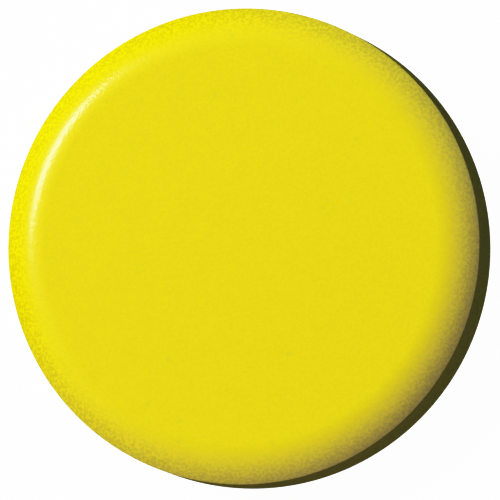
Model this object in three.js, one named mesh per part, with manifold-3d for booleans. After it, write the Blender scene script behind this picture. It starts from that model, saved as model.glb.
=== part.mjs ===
// A round, non-reflective raised pavement marker (a traffic button).
// A moulded yellow shell has a flat top, a rounded shoulder and, below a crisp edge, a nearly upright wall.
// Ribs under the top divide its inside into one hub pocket, a ring of inner pockets and a ring of outer
// pockets, all open downwards.
// Each pocket is poured full of sand-filled potting, which carries a wheel's load down to the road.
// Millimetres, +Z up. The origin is the centre of the underside, which rests on the road at z = 0.

import * as THREE from "three";
import { mergeVertices } from "three/addons/utils/BufferGeometryUtils.js";
import Module from "manifold-3d";

// The shell's outside. The shoulder is an arc that leaves the flat top smoothly, turns down by the given
// angle and ends at the edge of the wall.
const BASE_RADIUS = 50;
const EDGE_RADIUS = 49.75;
const HEIGHT = 20;
const SHOULDER_RADIUS = 11;
const SHOULDER_TURN = (50 * Math.PI) / 180;
const RIM_CHAMFER = 0.5;

// The shell's inside.
const SKIN = 3;
const RIB = 2;
const HUB_POCKET_RADIUS = 9;
const RING_RIB_RADIUS = 28;
const INNER_POCKETS = 6;
const OUTER_POCKETS = 12;

// The potting: its open face stays a little inside the rim, and a hairline parts it from the shell.
const POUR_RECESS = 0.6;
const HAIRLINE = 0.3;

// How finely round surfaces are faceted.
const FACETS = 72;
const SHOULDER_STEPS = 6;

// What follows from them. The shoulder's arc is centred below the rim of the flat top.
const FLAT_RADIUS = EDGE_RADIUS - SHOULDER_RADIUS * Math.sin(SHOULDER_TURN);
const ARC_CENTRE_HEIGHT = HEIGHT - SHOULDER_RADIUS;
const BELOW_BASE = -1;

const yellowPlastic = new THREE.MeshStandardMaterial({ color: 0xe9d916, roughness: 0.35, metalness: 0 });
const sandPotting = new THREE.MeshStandardMaterial({ color: 0x8c8474, roughness: 0.9, metalness: 0 });

const wasm = await Module();
wasm.setup();

// A closed geometry as a solid that can be joined and cut.
function toSolid(geometry) {
  geometry.deleteAttribute("normal");
  geometry.deleteAttribute("uv");
  const merged = mergeVertices(geometry, 1e-4);
  return new wasm.Manifold(
    new wasm.Mesh({
      numProp: 3,
      vertProperties: merged.getAttribute("position").array,
      triVerts: new Uint32Array(merged.index.array),
    }),
  );
}

// A solid as a geometry with flat faces.
function toGeometry(solid) {
  const mesh = solid.getMesh();
  const shared = new THREE.BufferGeometry();
  shared.setAttribute("position", new THREE.BufferAttribute(mesh.vertProperties, 3));
  shared.setIndex(new THREE.BufferAttribute(mesh.triVerts, 1));
  const geometry = shared.toNonIndexed();
  geometry.computeVertexNormals();
  return geometry;
}

// The solid swept by a half-profile of [radius, height] points turned about the Z axis.
function turned(profile) {
  const points = profile.map(([radius, height]) => new THREE.Vector2(radius, height));
  const geometry = new THREE.LatheGeometry(points, FACETS);
  geometry.rotateX(Math.PI / 2);
  return toSolid(geometry);
}

// The points of a shoulder arc, from where it meets the wall up to the rim of the flat top.
function shoulder(radius, turn) {
  const points = [];
  for (let step = SHOULDER_STEPS; step >= 0; step -= 1) {
    const angle = (step / SHOULDER_STEPS) * turn;
    points.push([
      FLAT_RADIUS + radius * Math.sin(angle),
      ARC_CENTRE_HEIGHT + radius * Math.cos(angle),
    ]);
  }
  return points;
}

// The whole outer form, as if the marker were solid.
function outerForm() {
  return turned([
    [0, 0],
    [BASE_RADIUS - RIM_CHAMFER, 0],
    [BASE_RADIUS, RIM_CHAMFER],
    ...shoulder(SHOULDER_RADIUS, SHOULDER_TURN),
    [0, HEIGHT],
  ]);
}

// The space inside the skin, shrunk by a gap, from a floor height up to the underside of the top.
function cavity(floor, gap) {
  const wallRadius = EDGE_RADIUS - SKIN - gap;
  const arcRadius = SHOULDER_RADIUS - SKIN - gap;
  const arcTurn = Math.asin((wallRadius - FLAT_RADIUS) / arcRadius);
  return turned([
    [0, floor],
    [wallRadius, floor],
    ...shoulder(arcRadius, arcTurn),
    [0, ARC_CENTRE_HEIGHT + arcRadius],
  ]);
}

// An upright column with the given outline, long enough to pass through the cavity.
function column(outline, turn) {
  const geometry = new THREE.ExtrudeGeometry(outline, {
    depth: HEIGHT - BELOW_BASE,
    bevelEnabled: false,
    curveSegments: 8,
  });
  geometry.translate(0, 0, BELOW_BASE);
  geometry.rotateZ(turn);
  return toSolid(geometry);
}

// The outline of one pocket of a ring of pockets. Its sides run parallel to the ribs beside it.
function ringPocketOutline(innerRadius, outerRadius, count, gap) {
  const halfPitch = Math.PI / count;
  const side = RIB / 2 + gap;
  const outerEnd = halfPitch - Math.asin(side / outerRadius);
  const innerEnd = halfPitch - Math.asin(side / innerRadius);
  const outline = new THREE.Shape();
  outline.absarc(0, 0, outerRadius, -outerEnd, outerEnd, false);
  outline.absarc(0, 0, innerRadius, innerEnd, -innerEnd, true);
  return outline;
}

// The middle pocket, a plain round one.
function hubPocket(floor, gap) {
  const height = HEIGHT - BELOW_BASE;
  const geometry = new THREE.CylinderGeometry(
    HUB_POCKET_RADIUS - gap,
    HUB_POCKET_RADIUS - gap,
    height,
    FACETS / 2,
  );
  geometry.rotateX(Math.PI / 2);
  geometry.translate(0, 0, BELOW_BASE + height / 2);
  return toSolid(geometry).intersect(cavity(floor, gap));
}

// One pocket of the inner ring, between the hub's rib and the ring rib.
function innerPocket(index, floor, gap) {
  const innerRadius = HUB_POCKET_RADIUS + RIB + gap;
  const outerRadius = RING_RIB_RADIUS - RIB / 2 - gap;
  const outline = ringPocketOutline(innerRadius, outerRadius, INNER_POCKETS, gap);
  const turn = ((index + 0.5) * 2 * Math.PI) / INNER_POCKETS;
  return column(outline, turn).intersect(cavity(floor, gap));
}

// One pocket of the outer ring. The cavity's own wall and shoulder close it on the outside.
function outerPocket(index, floor, gap) {
  const innerRadius = RING_RIB_RADIUS + RIB / 2 + gap;
  const outline = ringPocketOutline(innerRadius, BASE_RADIUS, OUTER_POCKETS, gap);
  const turn = ((index + 0.5) * 2 * Math.PI) / OUTER_POCKETS;
  return column(outline, turn).intersect(cavity(floor, gap));
}

// Every pocket by the name of the potting that fills it.
function allPockets() {
  const pockets = [{ name: "hub_potting", shape: hubPocket }];
  for (let index = 0; index < INNER_POCKETS; index += 1) {
    pockets.push({
      name: `inner_potting_${index + 1}`,
      shape: (floor, gap) => innerPocket(index, floor, gap),
    });
  }
  for (let index = 0; index < OUTER_POCKETS; index += 1) {
    pockets.push({
      name: `outer_potting_${index + 1}`,
      shape: (floor, gap) => outerPocket(index, floor, gap),
    });
  }
  return pockets;
}

// The moulded shell: the outer form with every pocket cut out of it from below.
function capShell(pockets) {
  const solid = pockets.reduce(
    (form, pocket) => form.subtract(pocket.shape(BELOW_BASE, 0)),
    outerForm(),
  );
  const mesh = new THREE.Mesh(toGeometry(solid), yellowPlastic);
  mesh.name = "cap_shell";
  return mesh;
}

// The potting poured into one pocket.
function potting(pocket) {
  const mesh = new THREE.Mesh(toGeometry(pocket.shape(POUR_RECESS, HAIRLINE)), sandPotting);
  mesh.name = pocket.name;
  return mesh;
}

const group = new THREE.Group();
const pockets = allPockets();
group.add(capShell(pockets));
for (const pocket of pockets) {
  group.add(potting(pocket));
}

export default group;
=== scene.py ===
"""A round yellow pavement marker: a moulded shell with a ribbed underside, poured full of sand-filled resin.

The shell and each pour are remade here as finished meshes around the CAD frame, in metres, with +Z up and
the underside on z = 0.
"""

import math

import bmesh
import bpy
from mathutils import Matrix, Vector, noise
from mathutils.kdtree import KDTree


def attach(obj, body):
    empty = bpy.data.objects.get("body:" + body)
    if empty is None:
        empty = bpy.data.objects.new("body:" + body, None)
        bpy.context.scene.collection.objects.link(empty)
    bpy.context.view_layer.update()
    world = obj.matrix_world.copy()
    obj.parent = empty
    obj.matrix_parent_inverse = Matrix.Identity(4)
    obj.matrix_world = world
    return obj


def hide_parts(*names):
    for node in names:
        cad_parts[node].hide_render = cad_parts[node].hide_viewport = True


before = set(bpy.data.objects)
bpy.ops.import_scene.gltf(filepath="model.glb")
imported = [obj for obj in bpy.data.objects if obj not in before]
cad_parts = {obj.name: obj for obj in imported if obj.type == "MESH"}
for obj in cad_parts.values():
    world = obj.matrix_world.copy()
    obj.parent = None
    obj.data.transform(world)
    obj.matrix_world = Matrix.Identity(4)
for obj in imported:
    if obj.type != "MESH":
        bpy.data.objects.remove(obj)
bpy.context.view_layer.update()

MM = 0.001


# ---------------------------------------------------------------------------------------------------------
# Sizes
# ---------------------------------------------------------------------------------------------------------

SHELL_NODE = "cap_shell"
HUB_NODE = "hub_potting"
INNER_PREFIX = "inner_potting_"
OUTER_PREFIX = "outer_potting_"

# The gap that the CAD keeps between the potting and the shell, and the one left here, too small to see.
CAD_HAIRLINE = 0.3 * MM
HAIRLINE = 0.02 * MM

# The rib between two pockets.
RIB = 2.0 * MM

# How near a CAD point is to a level or to the cavity's wall if it counts as on it, and the share of the
# base's radius past which it is on the outside of the wall.
AT_LEVEL = 0.01 * MM
AT_WALL = 0.1 * MM
OUTSIDE_SHARE = 0.99

# The shell's finish: how finely it is turned, and how its edge and its rim are rounded.
TURN_STEPS = 360
SHOULDER_STEPS = 28
EDGE_ROUNDING = 0.3 * MM
RIM_ROUNDING = 0.5 * MM
ROUNDING_STEPS = 5
SHELL_SHARP_ANGLE = 32

# The rings of the flat top, the width of the narrow band that ends it at its crease, and the rings of the
# wall, as shares of its height.
TOP_RINGS = (0, 10 * MM, 20 * MM, 30 * MM, 36 * MM)
CREASE_BAND = 0.2 * MM
WALL_RINGS = (0.9, 0.5, 0.1)

# The pockets' finish: corners seen from below, rounded mouths, and the taper that frees the mould.
CORNER_RADIUS = 1.2 * MM
MOUTH_ROUNDING = 0.4 * MM
CEILING_FILLET = 0.8 * MM
DRAFT = math.tan(math.radians(0.5))
POCKET_SPACING = 0.4 * MM
CAVITY_STEPS = 12
LEAST_STEP = 0.1 * MM
BELOW_BASE = -0.05 * MM

# The open face of a pour: how it climbs the walls round it, its slow swell and its sand grains.
MENISCUS_REACH = 0.5 * MM
NEAR_WALL_RINGS = (0.1 * MM, 0.22 * MM)
FACE_SPACING = 0.4 * MM
SWELL_HEIGHT = 0.08 * MM
SWELL_LENGTH = 9.0 * MM
GRAIN_HEIGHT = 0.06 * MM
GRAIN_LENGTH = 0.8 * MM
POUR_SHARP_ANGLE = 50


def node_points(name):
    """The (distance from the axis, height) of each vertex of a CAD node."""
    return [(math.hypot(v.co.x, v.co.y), v.co.z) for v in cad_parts[name].data.vertices]


def node_direction(name):
    """The angle about the axis at which a CAD node lies."""
    points = [v.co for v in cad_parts[name].data.vertices]
    middle = sum(points, Vector()) / len(points)
    return math.atan2(middle.y, middle.x)


shell_points = node_points(SHELL_NODE)
BASE_RADIUS = max(radius for radius, height in shell_points)
HEIGHT = max(height for radius, height in shell_points)
FLAT_RADIUS = max(radius for radius, height in shell_points if height > HEIGHT - AT_LEVEL)
EDGE_HEIGHT = max(height for radius, height in shell_points if radius > OUTSIDE_SHARE * BASE_RADIUS)
EDGE_RADIUS = max(radius for radius, height in shell_points if height > EDGE_HEIGHT - AT_LEVEL)

# The shoulder is an arc that leaves the flat top smoothly and ends at the edge of the wall.
SHOULDER_TURN = 2 * math.atan2(HEIGHT - EDGE_HEIGHT, EDGE_RADIUS - FLAT_RADIUS)
SHOULDER_RADIUS = (EDGE_RADIUS - FLAT_RADIUS) / math.sin(SHOULDER_TURN)
ARC_CENTRE_HEIGHT = HEIGHT - SHOULDER_RADIUS

hub_points = node_points(HUB_NODE)
HUB_RADIUS = max(radius for radius, height in hub_points) + CAD_HAIRLINE
CEILING = max(height for radius, height in hub_points) + CAD_HAIRLINE
POUR_LEVEL = min(height for radius, height in hub_points)
SKIN = HEIGHT - CEILING
CAVITY_RADIUS = EDGE_RADIUS - SKIN
CAVITY_ARC_RADIUS = SHOULDER_RADIUS - SKIN


# ---------------------------------------------------------------------------------------------------------
# Mesh making
# ---------------------------------------------------------------------------------------------------------


def join_rings(form, first, second):
    """Joins two rings of as many points each, or a ring and a single point, by faces."""
    count = max(len(first), len(second))
    for index in range(count):
        following = (index + 1) % count
        if len(first) == 1:
            form.faces.new((first[0], second[following], second[index]))
        elif len(second) == 1:
            form.faces.new((first[index], first[following], second[0]))
        else:
            form.faces.new((first[index], first[following], second[following], second[index]))


def loft_into(form, rings):
    """Adds a closed solid that runs through rings of points. An end that isn't a single point is capped."""
    made = [[form.verts.new(point) for point in ring] for ring in rings]
    for first, second in zip(made, made[1:]):
        join_rings(form, first, second)
    for end in (made[0], made[-1]):
        if len(end) > 1:
            form.faces.new(end)


def mesh_object(name, form):
    """An object in the scene from a finished form."""
    bmesh.ops.recalc_face_normals(form, faces=form.faces)
    mesh = bpy.data.meshes.new(name)
    form.to_mesh(mesh)
    form.free()
    piece = bpy.data.objects.new(name, mesh)
    bpy.context.scene.collection.objects.link(piece)
    return piece


def apply_modifiers(piece):
    """Replaces a piece's mesh by the one its modifiers make."""
    graph = bpy.context.evaluated_depsgraph_get()
    finished = bpy.data.meshes.new_from_object(piece.evaluated_get(graph))
    piece.modifiers.clear()
    piece.data = finished


def smooth(piece, sharp_angle):
    """Smooth shading that stays crisp where faces meet at more than the given angle."""
    piece.data.shade_smooth()
    piece.data.set_sharp_from_angle(angle=math.radians(sharp_angle))
    weighted = piece.modifiers.new("weighted", "WEIGHTED_NORMAL")
    weighted.keep_sharp = True
    apply_modifiers(piece)


def arc(centre, radius, start, end, steps):
    """Points of an arc as pairs, both ends included."""
    angles = [start + (end - start) * step / steps for step in range(steps + 1)]
    return [(centre[0] + radius * math.cos(a), centre[1] + radius * math.sin(a)) for a in angles]


def circle(radius, height, steps):
    """A level ring round the axis, or a single point on it."""
    if radius == 0:
        return [Vector((0, 0, height))]
    around = arc((0, 0), radius, 0, 2 * math.pi, steps)[:-1]
    return [Vector((x, y, height)) for x, y in around]


# ---------------------------------------------------------------------------------------------------------
# Pockets
# ---------------------------------------------------------------------------------------------------------


def steps_for(length):
    return max(2, round(length / POCKET_SPACING))


def cavity_reach(height):
    """How far the cavity inside the skin reaches from the axis at a height."""
    rise = min(CAVITY_ARC_RADIUS, max(0.0, height - ARC_CENTRE_HEIGHT))
    return min(CAVITY_RADIUS, FLAT_RADIUS + math.sqrt(CAVITY_ARC_RADIUS**2 - rise**2))


def ring_outline(inner, outer, half_pitch, side, corner, steps):
    """The outline of a ring's pocket centred on +X. Its sides keep a distance from the ribs' middles."""
    outer_turn = half_pitch - math.asin((side + corner) / (outer - corner))
    inner_turn = half_pitch - math.asin((side + corner) / (inner + corner))
    outer_centre = arc((0, 0), outer - corner, outer_turn, 0, 1)[0]
    inner_centre = arc((0, 0), inner + corner, inner_turn, 0, 1)[0]
    towards_rib = half_pitch + math.pi / 2
    outer_steps, side_steps, inner_steps = steps

    half = arc((0, 0), outer, 0, outer_turn, outer_steps)
    half += arc(outer_centre, corner, outer_turn, towards_rib, ROUNDING_STEPS)[1:]
    side_start = half[-1]
    inner_corner = arc(inner_centre, corner, towards_rib, inner_turn + math.pi, ROUNDING_STEPS)
    for step in range(1, side_steps):
        half.append(tuple(a + (b - a) * step / side_steps for a, b in zip(side_start, inner_corner[0])))
    half += inner_corner
    half += arc((0, 0), inner, inner_turn, 0, inner_steps)[1:]
    return half + [(x, -y) for x, y in reversed(half[1:-1])]


class HubPocket:
    """The round middle pocket."""

    direction = 0.0
    steps = steps_for(2 * math.pi * HUB_RADIUS)

    def outline(self, height, grow):
        return arc((0, 0), HUB_RADIUS - DRAFT * height + grow, 0, 2 * math.pi, self.steps)[:-1]


class RingPocket:
    """A pocket between two ribs of a ring. Without an outer rib, the cavity's own wall closes it."""

    def __init__(self, direction, count, inner, outer):
        self.direction = direction
        self.half_pitch = math.pi / count
        self.inner = inner
        self.outer = outer
        reach = outer or CAVITY_RADIUS
        self.steps = (
            steps_for(self.half_pitch * reach),
            steps_for(reach - inner),
            steps_for(self.half_pitch * inner),
        )

    def outline(self, height, grow):
        inset = DRAFT * height - grow
        outer = (self.outer or cavity_reach(height)) - inset
        corner = CORNER_RADIUS - inset / 2
        return ring_outline(self.inner + inset, outer, self.half_pitch, RIB / 2 + inset, corner, self.steps)


def find_pockets():
    """Every pocket by the name of the CAD node that fills it."""
    pockets = {HUB_NODE: HubPocket()}
    for prefix in (INNER_PREFIX, OUTER_PREFIX):
        names = sorted(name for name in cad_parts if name.startswith(prefix))
        for name in names:
            radii = [radius for radius, height in node_points(name)]
            outer = max(radii) + CAD_HAIRLINE
            against_wall = outer > CAVITY_RADIUS - AT_WALL
            pockets[name] = RingPocket(
                node_direction(name),
                len(names),
                min(radii) - CAD_HAIRLINE,
                None if against_wall else outer,
            )
    return pockets


def mouth_levels():
    """(height, growth) of a pocket's rings at its rounded mouth, from below the base up."""
    quarter = arc((MOUTH_ROUNDING, MOUTH_ROUNDING), MOUTH_ROUNDING, -math.pi / 2, -math.pi, ROUNDING_STEPS)
    rounding = [(height, growth) for growth, height in quarter]
    (_, widest), (height, growth) = rounding[:2]
    overrun = widest + (widest - growth) / height * -BELOW_BASE
    return [(BELOW_BASE, overrun)] + rounding[1:]


def inner_levels():
    """(height, growth) of a pocket's rings from above its mouth up to the fillet under the top."""
    wall_turn = math.asin((CAVITY_RADIUS - FLAT_RADIUS) / CAVITY_ARC_RADIUS)
    start = math.pi / 2 - wall_turn
    cavity_arc = arc((0, ARC_CENTRE_HEIGHT), CAVITY_ARC_RADIUS, start, math.pi / 2, CAVITY_STEPS)
    fillet_start = CEILING - CEILING_FILLET
    walls = [(height, 0.0) for _, height in cavity_arc if height < fillet_start - LEAST_STEP]
    quarter = arc((-CEILING_FILLET, fillet_start), CEILING_FILLET, 0, math.pi / 2, ROUNDING_STEPS)
    return [(ARC_CENTRE_HEIGHT, 0.0)] + walls + [(height, growth) for growth, height in quarter]


def pocket_ring(pocket, height, growth):
    """A pocket's ring of points at a height, turned to where the pocket is."""
    turn = Matrix.Rotation(pocket.direction, 3, "Z")
    return [turn @ Vector((x, y, height)) for x, y in pocket.outline(height, growth)]


# ---------------------------------------------------------------------------------------------------------
# The shell
# ---------------------------------------------------------------------------------------------------------


def rounded_corner(before, corner, after, radius, steps):
    """The points that round a corner of a profile."""
    before, corner, after = Vector(before), Vector(corner), Vector(after)
    back = (before - corner).normalized()
    ahead = (after - corner).normalized()
    half_angle = back.angle(ahead) / 2
    length = radius / math.tan(half_angle)
    centre = corner + (back + ahead).normalized() * radius / math.sin(half_angle)
    first = corner + back * length - centre
    last = corner + ahead * length - centre
    sweep = first.angle(last)
    points = []
    for step in range(steps + 1):
        share = step / steps
        weights = math.sin((1 - share) * sweep), math.sin(share * sweep)
        points.append(tuple(centre + (first * weights[0] + last * weights[1]) / math.sin(sweep)))
    return points


def shell_profile():
    """(distance from the axis, height) from the middle of the top, round the edge, to that of the base."""
    top = [(radius, HEIGHT) for radius in TOP_RINGS]
    top.append((FLAT_RADIUS - CREASE_BAND, HEIGHT))
    shoulder_centre = (FLAT_RADIUS, ARC_CENTRE_HEIGHT)
    start = math.pi / 2
    shoulder = arc(shoulder_centre, SHOULDER_RADIUS, start, start - SHOULDER_TURN, SHOULDER_STEPS)
    wall_top = (EDGE_RADIUS, EDGE_HEIGHT)
    wall_foot = (BASE_RADIUS, 0)
    edge = rounded_corner(shoulder[-2], wall_top, wall_foot, EDGE_ROUNDING, ROUNDING_STEPS)
    rim = rounded_corner(wall_top, wall_foot, (0, 0), RIM_ROUNDING, ROUNDING_STEPS)
    lean = EDGE_RADIUS - BASE_RADIUS
    wall = [(BASE_RADIUS + lean * share, EDGE_HEIGHT * share) for share in WALL_RINGS]
    return top + shoulder[:-1] + edge + wall + rim + [(0, 0)]


def make_shell(pockets):
    """The moulded shell: the turned outer form with every pocket cut out of it from below."""
    form = bmesh.new()
    loft_into(form, [circle(radius, height, TURN_STEPS) for radius, height in shell_profile()])
    shell = mesh_object("moulded_shell", form)

    cutter_form = bmesh.new()
    for pocket in pockets.values():
        levels = mouth_levels() + inner_levels()
        loft_into(cutter_form, [pocket_ring(pocket, height, growth) for height, growth in levels])
    cutter = mesh_object("pocket_cutter", cutter_form)

    cut = shell.modifiers.new("pockets", "BOOLEAN")
    cut.operation = "DIFFERENCE"
    cut.solver = "EXACT"
    cut.object = cutter
    apply_modifiers(shell)
    bpy.data.objects.remove(cutter)
    smooth(shell, SHELL_SHARP_ANGLE)
    return shell


# ---------------------------------------------------------------------------------------------------------
# The pours
# ---------------------------------------------------------------------------------------------------------


def open_face_height(point, wall_distance):
    """The height of a pour's open face at a point: a meniscus at the walls, a slow swell, and sand."""
    climb = math.exp(-wall_distance / MENISCUS_REACH)
    swell = noise.noise(point / SWELL_LENGTH) * SWELL_HEIGHT
    grain = noise.noise(point / GRAIN_LENGTH) * GRAIN_HEIGHT
    level = POUR_LEVEL + swell + grain
    return level + (MOUTH_ROUNDING - level) * climb


def open_face_rings(rim):
    """Rings from a pour's rim to its middle, dense enough to carry the sand's relief."""
    middle = sum(rim, Vector()) / len(rim)
    reach = sum((point - middle).length for point in rim) / len(rim)
    walls = KDTree(len(rim))
    for index, point in enumerate(rim):
        walls.insert(point, index)
    walls.balance()

    count = round(reach / FACE_SPACING)
    near_wall = [distance / reach for distance in NEAR_WALL_RINGS]
    shares = near_wall + [step / count for step in range(1, count)]
    rings = []
    for share in shares:
        ring = []
        for point in rim:
            place = point.lerp(middle, share)
            _, _, wall_distance = walls.find(place)
            ring.append(Vector((place.x, place.y, open_face_height(place, wall_distance))))
        rings.append(ring)
    rings.append([Vector((middle.x, middle.y, open_face_height(middle, reach)))])
    return rings


def make_pour(node, pocket):
    """The potting in one pocket, from the fillet under the top down to its open face."""
    levels = [(MOUTH_ROUNDING, 0.0)] + inner_levels()
    rings = [pocket_ring(pocket, height, growth - HAIRLINE) for height, growth in reversed(levels)]
    form = bmesh.new()
    loft_into(form, rings + open_face_rings(rings[-1]))
    pour = mesh_object(node.replace("potting", "pour"), form)
    smooth(pour, POUR_SHARP_ANGLE)
    return pour


# ---------------------------------------------------------------------------------------------------------
# Materials
# ---------------------------------------------------------------------------------------------------------


# A noise below is its length, its detail and, where that isn't the usual one, its roughness.

# The plastic: clouds of two yellows, and greenish specks. A speck lies in the middle of a cell and fades out
# over SPECK_FADE, in cells. The higher SPECK_CHOICE is, up to 1, the fewer cells have one.
PLASTIC_ROUGHNESS = 0.20
PLASTIC_IOR = 1.46
CLOUD_YELLOWS = (0.900, 0.732, 0.001, 1), (0.842, 0.690, 0.001, 1)
CLOUD_NOISE = 5 * MM, 4.0, 0.7
SPECK_SPACING = 4.5 * MM
SPECK_FADE = 0.06, 0.16
SPECK_CHOICE = 0.55, 0.65
SPECK_STRENGTH = 0.20
SPECK_COLOUR = (0.40, 0.62, 0.03, 1)

# The plastic's orange peel: painted light and shade of its relief, laid into the colour as lighter crests and
# darker pits, and its ripples. The painted peel has the first of PEEL_SHARES where the upward part of the
# normal is below PEEL_SLOPE, and the second where it is above.
PEEL_LIT_AND_SHADED_COLOURS = (0.925, 0.755, 0.001, 1), (0.725, 0.590, 0.001, 1)
PEEL_NOISE = 0.6 * MM, 1.5
PEEL_CONTRAST = 0.38, 0.62
PEEL_SLOPE = 0.80, 0.99
PEEL_SHARES = 0.95, 0.14
RIPPLE_NOISE = 0.5 * MM, 0.0
RIPPLE_DEPTH = 0.028 * MM

# The potting: pale grains of many tones, some dark ones, and the resin between them. A grain fades out over
# SAND_FADE and is rounded off up to SAND_ROUNDING, both in cells from its middle.
POTTING_IOR = 1.5
SAND_LENGTH = 0.75 * MM
PALE_SAND = (0.20, 0.17, 0.13, 1), (0.50, 0.44, 0.34, 1)
DARK_SAND = (0.07, 0.06, 0.05, 1)
DARK_CHOICE = 0.80, 0.84
RESIN_COLOURS = (0.17, 0.145, 0.115, 1), (0.27, 0.235, 0.19, 1)
RESIN_NOISE = 6 * MM, 3.0
SAND_FADE = 0.30, 0.55
SAND_COVER = 0.85
RESIN_ROUGHNESS = 0.62
SAND_ROUGHNESS = 0.88
SAND_RELIEF = 0.08 * MM
SAND_ROUNDING = 0.6


class MaterialNodes:
    """A material's node tree, filled by short calls."""

    def __init__(self, name):
        self.material = bpy.data.materials.new(name)
        self.material.use_nodes = True
        self.tree = self.material.node_tree
        self.shader = self.tree.nodes["Principled BSDF"]
        self.place = self.add("ShaderNodeTexCoord").outputs["Object"]

    def add(self, kind, inputs=None, **settings):
        """A new node with settings, and with its inputs set to values or linked from outputs."""
        node = self.tree.nodes.new(kind)
        for key, value in settings.items():
            setattr(node, key, value)
        for key, value in (inputs or {}).items():
            self.feed(node.inputs[key], value)
        return node

    def feed(self, socket, value):
        if isinstance(value, bpy.types.NodeSocket):
            self.tree.links.new(value, socket)
        else:
            socket.default_value = value

    def noise(self, length, detail, roughness=0.5):
        """Noise whose features are about a length in metres across, from 0 to 1."""
        inputs = {"Vector": self.place, "Scale": 1 / length, "Detail": detail, "Roughness": roughness}
        return self.add("ShaderNodeTexNoise", inputs).outputs["Fac"]

    def cells(self, length):
        """A Voronoi texture with cells of about a length in metres."""
        return self.add("ShaderNodeTexVoronoi", {"Vector": self.place, "Scale": 1 / length})

    def remap(self, value, low, high, to_low=0.0, to_high=1.0):
        """A value carried from one range to another, smoothly and without leaving it."""
        inputs = {"Value": value, "From Min": low, "From Max": high, "To Min": to_low, "To Max": to_high}
        return self.add("ShaderNodeMapRange", inputs, interpolation_type="SMOOTHSTEP").outputs["Result"]

    def math(self, operation, first, second):
        return self.add("ShaderNodeMath", {0: first, 1: second}, operation=operation).outputs["Value"]

    def mix(self, share, first, second):
        """A colour between two others."""
        node = self.add("ShaderNodeMix", data_type="RGBA")
        for socket, value in (("Factor_Float", share), ("A_Color", first), ("B_Color", second)):
            found = next(s for s in node.inputs if s.identifier == socket)
            self.feed(found, value)
        return next(s for s in node.outputs if s.identifier == "Result_Color")

    def bump(self, height, depth):
        """Relief of a depth in metres. It is fed to the shader."""
        node = self.add("ShaderNodeBump", {"Height": height, "Distance": depth, "Strength": 1.0})
        self.feed(self.shader.inputs["Normal"], node.outputs["Normal"])


def yellow_plastic():
    """Glossy pigmented plastic: faint clouds, greenish specks, and orange peel, its light and shade painted
    into the colour, strongest where it curves.
    """
    nodes = MaterialNodes("yellow_plastic")
    colour = nodes.mix(nodes.noise(*CLOUD_NOISE), *CLOUD_YELLOWS)

    cells = nodes.cells(SPECK_SPACING)
    chosen = nodes.remap(cells.outputs["Color"], *SPECK_CHOICE)
    speck = nodes.math("MULTIPLY", nodes.remap(cells.outputs["Distance"], *SPECK_FADE, 1.0, 0.0), chosen)
    colour = nodes.mix(nodes.math("MULTIPLY", speck, SPECK_STRENGTH), colour, SPECK_COLOUR)

    normal = nodes.add("ShaderNodeNewGeometry").outputs["Normal"]
    upward = nodes.add("ShaderNodeSeparateXYZ", {"Vector": normal}).outputs["Z"]
    # Painted light and shade: the peel's relief as lighter crests and darker pits in the colour, strongest on
    # the shoulder.
    painted_peel_share = nodes.remap(upward, *PEEL_SLOPE, *PEEL_SHARES)
    peel_light_and_shade = nodes.remap(nodes.noise(*PEEL_NOISE), *PEEL_CONTRAST)
    colour = nodes.mix(painted_peel_share, colour, nodes.mix(peel_light_and_shade, *PEEL_LIT_AND_SHADED_COLOURS))

    nodes.feed(nodes.shader.inputs["Base Color"], colour)
    nodes.shader.inputs["Roughness"].default_value = PLASTIC_ROUGHNESS
    nodes.shader.inputs["IOR"].default_value = PLASTIC_IOR
    nodes.bump(nodes.noise(*RIPPLE_NOISE), RIPPLE_DEPTH)
    return nodes.material


def sand_potting():
    """Sand grains of several colours in a grey-brown resin."""
    nodes = MaterialNodes("sand_potting")
    grains = nodes.cells(SAND_LENGTH)
    grain_tone = nodes.add("ShaderNodeSeparateColor", {"Color": grains.outputs["Color"]})
    pale = nodes.mix(grain_tone.outputs["Red"], *PALE_SAND)
    dark = nodes.remap(grain_tone.outputs["Green"], *DARK_CHOICE)
    grain_colour = nodes.mix(dark, pale, DARK_SAND)
    resin = nodes.mix(nodes.noise(*RESIN_NOISE), *RESIN_COLOURS)
    inside_grain = nodes.remap(grains.outputs["Distance"], *SAND_FADE, SAND_COVER, 0.0)
    roughness = nodes.remap(inside_grain, 0.0, SAND_COVER, RESIN_ROUGHNESS, SAND_ROUGHNESS)
    nodes.feed(nodes.shader.inputs["Base Color"], nodes.mix(inside_grain, resin, grain_colour))
    nodes.feed(nodes.shader.inputs["Roughness"], roughness)
    nodes.shader.inputs["IOR"].default_value = POTTING_IOR
    nodes.bump(nodes.remap(grains.outputs["Distance"], 0.0, SAND_ROUNDING, 1.0, 0.0), SAND_RELIEF)
    return nodes.material


# ---------------------------------------------------------------------------------------------------------
# The floor, the light and the camera
# ---------------------------------------------------------------------------------------------------------

FLOOR_RADIUS = 4.0
FLOOR_SIDES = 96
FLOOR_DROP = 0.05 * MM
FLOOR_COLOUR = (0.30, 0.30, 0.30, 1)
FLOOR_GLOW = 1.5
WHITE = (1, 1, 1, 1)

# Each softbox: where it stands (its direction round the axis from +X, and its elevation, in degrees), how
# wide and high it is, its watts and its tint.
SOFTBOX_DISTANCE = 3.0
KEY = {"direction": 154, "elevation": 47.5, "size": (1.15, 0.50), "power": 30.8, "tint": (1, 1, 1)}
SIDE_FILL = {"direction": 140, "elevation": 45, "size": (1.5, 1.2), "power": 79.0, "tint": (0.858, 1, 0.9)}
TOP_FILL = {"direction": 240, "elevation": 75, "size": (2.4, 2.4), "power": 18.3, "tint": (1, 0.54, 0.4)}
UNDERSIDE_SUN = 2.2
UNDERSIDE_SPREAD = math.radians(5)

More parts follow.
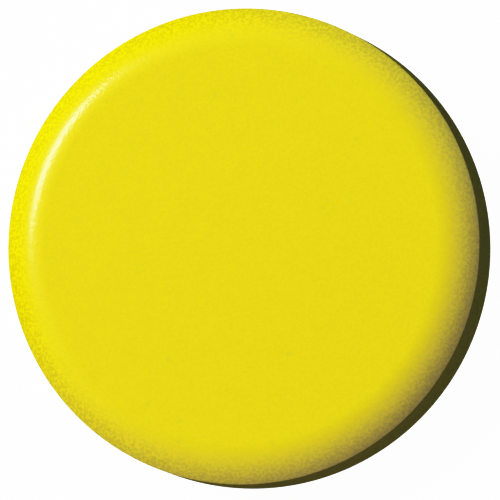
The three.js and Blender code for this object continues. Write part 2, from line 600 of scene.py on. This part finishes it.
# What the room gives: a dim greenish fill, and for gloss alone a pale side opposite the key light, weaker
# overhead and below. It fades over PALE_SPREAD, the part of a direction that points to the pale side, and
# downwards over BELOW_SPREAD, the part that points up.
FILL_COLOUR = (0.046, 0.062, 0.045, 1)
SEEN_COLOUR = (1.8, 1.8, 1.8, 1)
PALE_SIDE = math.radians(-30)
PALE_SPREAD = (-0.75, 0.6)
GLOSS_PALE_SIDE = 1.55
GLOSS_OVERHEAD = 0.35
GLOSS_BELOW = 0.065
BELOW_SPREAD = (-0.8, 0.0)

# How the film takes light: (light, tone) pairs, straight up to mid tones, then softly up to white at
# FILM_WHITE. The last of a curve mapping's curves is the one that acts on all three colours.
FILM_WHITE = 2.0
FILM_MID_TONES = (0.3, 0.3), (0.6, 0.6)
FILM_SHOULDER = (0.7, 0.695), (0.8, 0.785), (0.9, 0.858), (1.0, 0.907), (1.1, 0.935), (1.3, 0.963)
COMBINED_CURVE = 3

CAMERA_LEAN = math.radians(9.84)
CAMERA_LEAN_DIRECTION = math.radians(-23.3)
CAMERA_DISTANCE = 2.0
CAMERA_LENS = 685.6
CAMERA_NEAR = 0.1
CAMERA_FAR = 50.0
CAMERA_AIM = Vector((-1.05 * MM, 0.25 * MM, 0))


def away_from_origin(direction, elevation):
    """The unit vector at an angle round the axis, counted from +X, and at an elevation."""
    flat = math.cos(elevation)
    return Vector((flat * math.cos(direction), flat * math.sin(direction), math.sin(elevation)))


def facing(towards, up):
    """The rotation of a light or camera that looks along -towards, with up at its top."""
    right = up.cross(towards).normalized()
    return Matrix((right, towards.cross(right), towards)).transposed().to_4x4()


def make_floor():
    """A pale floor that takes only a faint shadow, and lets a view from below through."""
    form = bmesh.new()
    form.faces.new([form.verts.new(point) for point in circle(FLOOR_RADIUS, -FLOOR_DROP, FLOOR_SIDES)])
    floor = mesh_object("floor", form)
    if floor.data.polygons[0].normal.z < 0:
        floor.data.flip_normals()
    nodes = MaterialNodes("pale_floor")
    tree = nodes.tree
    tree.nodes.remove(nodes.shader)
    matt = nodes.add("ShaderNodeBsdfDiffuse", {"Color": FLOOR_COLOUR})
    glow = nodes.add("ShaderNodeEmission", {"Color": WHITE, "Strength": FLOOR_GLOW})
    top = nodes.add("ShaderNodeAddShader", {0: matt.outputs[0], 1: glow.outputs[0]})
    clear = nodes.add("ShaderNodeBsdfTransparent")
    side = nodes.add("ShaderNodeNewGeometry").outputs["Backfacing"]
    surface = nodes.add("ShaderNodeMixShader", {0: side, 1: top.outputs[0], 2: clear.outputs[0]})
    nodes.feed(tree.nodes["Material Output"].inputs["Surface"], surface.outputs[0])
    floor.data.materials.append(nodes.material)
    floor.visible_diffuse = False
    floor.visible_glossy = False
    floor.visible_shadow = False


def make_softbox(name, settings):
    """A soft elliptical light that looks at the marker."""
    light = bpy.data.objects.new(name, bpy.data.lights.new(name, "AREA"))
    towards = away_from_origin(math.radians(settings["direction"]), math.radians(settings["elevation"]))
    light.matrix_world = Matrix.Translation(towards * SOFTBOX_DISTANCE) @ facing(towards, Vector((0, 0, 1)))
    light.data.shape = "ELLIPSE"
    light.data.size, light.data.size_y = settings["size"]
    light.data.energy = settings["power"]
    light.data.color = settings["tint"]
    light.visible_camera = False
    bpy.context.scene.collection.objects.link(light)
    return light


def make_underside_light():
    """A lamp that shines straight up, so that it reaches only what faces down."""
    below = bpy.data.objects.new("below", bpy.data.lights.new("below", "SUN"))
    below.data.energy = UNDERSIDE_SUN
    below.data.angle = UNDERSIDE_SPREAD
    below.rotation_euler = (math.pi, 0, 0)
    below.visible_glossy = False
    bpy.context.scene.collection.objects.link(below)


def make_room():
    """The room: near-white to the camera, dim to matt surfaces, and a soft pale side to glossy ones."""
    world = bpy.data.worlds.new("room")
    world.use_nodes = True
    tree = world.node_tree
    link = tree.links.new

    def remap(value, spread, ends, interpolation="LINEAR"):
        node = tree.nodes.new("ShaderNodeMapRange")
        node.interpolation_type = interpolation
        link(value, node.inputs["Value"])
        node.inputs["From Min"].default_value, node.inputs["From Max"].default_value = spread
        node.inputs["To Min"].default_value, node.inputs["To Max"].default_value = ends
        return node.outputs["Result"]

    def multiply(first, second):
        node = tree.nodes.new("ShaderNodeMath")
        node.operation = "MULTIPLY"
        link(first, node.inputs[0])
        link(second, node.inputs[1])
        return node.outputs[0]

    def backdrop(colour):
        node = tree.nodes.new("ShaderNodeBackground")
        node.inputs["Color"].default_value = colour
        return node

    def choose(condition, otherwise, chosen):
        node = tree.nodes.new("ShaderNodeMixShader")
        link(condition, node.inputs[0])
        link(otherwise, node.inputs[1])
        link(chosen, node.inputs[2])
        return node.outputs[0]

    heading = tree.nodes.new("ShaderNodeTexCoord").outputs["Generated"]
    sideways = tree.nodes.new("ShaderNodeVectorMath")
    sideways.operation = "DOT_PRODUCT"
    sideways.inputs[1].default_value = away_from_origin(PALE_SIDE, 0)
    link(heading, sideways.inputs[0])
    separate = tree.nodes.new("ShaderNodeSeparateXYZ")
    link(heading, separate.inputs[0])
    height = separate.outputs["Z"]

    pale = remap(sideways.outputs["Value"], PALE_SPREAD, (0.0, GLOSS_PALE_SIDE))
    steepness = multiply(height, height)
    overhead = remap(multiply(steepness, steepness), (0.0, 1.0), (1.0, GLOSS_OVERHEAD))
    below = remap(height, BELOW_SPREAD, (GLOSS_BELOW, 1.0), "SMOOTHSTEP")
    gloss = backdrop(WHITE)
    link(multiply(pale, multiply(overhead, below)), gloss.inputs["Strength"])

    rays = tree.nodes.new("ShaderNodeLightPath").outputs
    lit = choose(rays["Is Glossy Ray"], backdrop(FILL_COLOUR).outputs[0], gloss.outputs[0])
    seen = choose(rays["Is Camera Ray"], lit, backdrop(SEEN_COLOUR).outputs[0])
    link(seen, tree.nodes["World Output"].inputs["Surface"])
    bpy.context.scene.world = world


def make_lights():
    """A compact softbox that gives the highlight, two broad ones that gloss doesn't show, and the room."""
    make_softbox("key", KEY)
    for name, settings in (("side_fill", SIDE_FILL), ("top_fill", TOP_FILL)):
        fill = make_softbox(name, settings)
        fill.visible_glossy = False
        fill.data.cycles.use_multiple_importance_sampling = False
    make_underside_light()
    make_room()


def set_film():
    """Highlights that roll off softly towards white, as on film."""
    view = bpy.context.scene.view_settings
    view.view_transform = "Standard"
    view.use_curve_mapping = True
    mapping = view.curve_mapping
    mapping.white_level = (FILM_WHITE, FILM_WHITE, FILM_WHITE)
    curve = mapping.curves[COMBINED_CURVE]
    curve.points[-1].location = (1, 1)
    for light, tone in FILM_MID_TONES + FILM_SHOULDER:
        curve.points.new(light / FILM_WHITE, tone)
    mapping.update()


def make_camera():
    camera = bpy.data.objects.new("camera", bpy.data.cameras.new("camera"))
    towards = away_from_origin(CAMERA_LEAN_DIRECTION, math.pi / 2 - CAMERA_LEAN)
    camera.data.lens = CAMERA_LENS
    camera.data.clip_start = CAMERA_NEAR
    camera.data.clip_end = CAMERA_FAR
    camera.matrix_world = Matrix.Translation(CAMERA_AIM + towards * CAMERA_DISTANCE) @ facing(
        towards, Vector((0, 1, 0))
    )
    bpy.context.scene.collection.objects.link(camera)
    bpy.context.scene.camera = camera


# ---------------------------------------------------------------------------------------------------------
# The scene
# ---------------------------------------------------------------------------------------------------------

make_camera()
make_lights()
make_floor()

pockets = find_pockets()

shell = make_shell(pockets)
shell.data.materials.clear()
shell.data.materials.append(yellow_plastic())
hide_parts(SHELL_NODE)
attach(shell, "root")

potting_material = sand_potting()
for node, pocket in pockets.items():
    pour = make_pour(node, pocket)
    pour.data.materials.clear()
    pour.data.materials.append(potting_material)
    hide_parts(node)
    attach(pour, "root")

set_film()
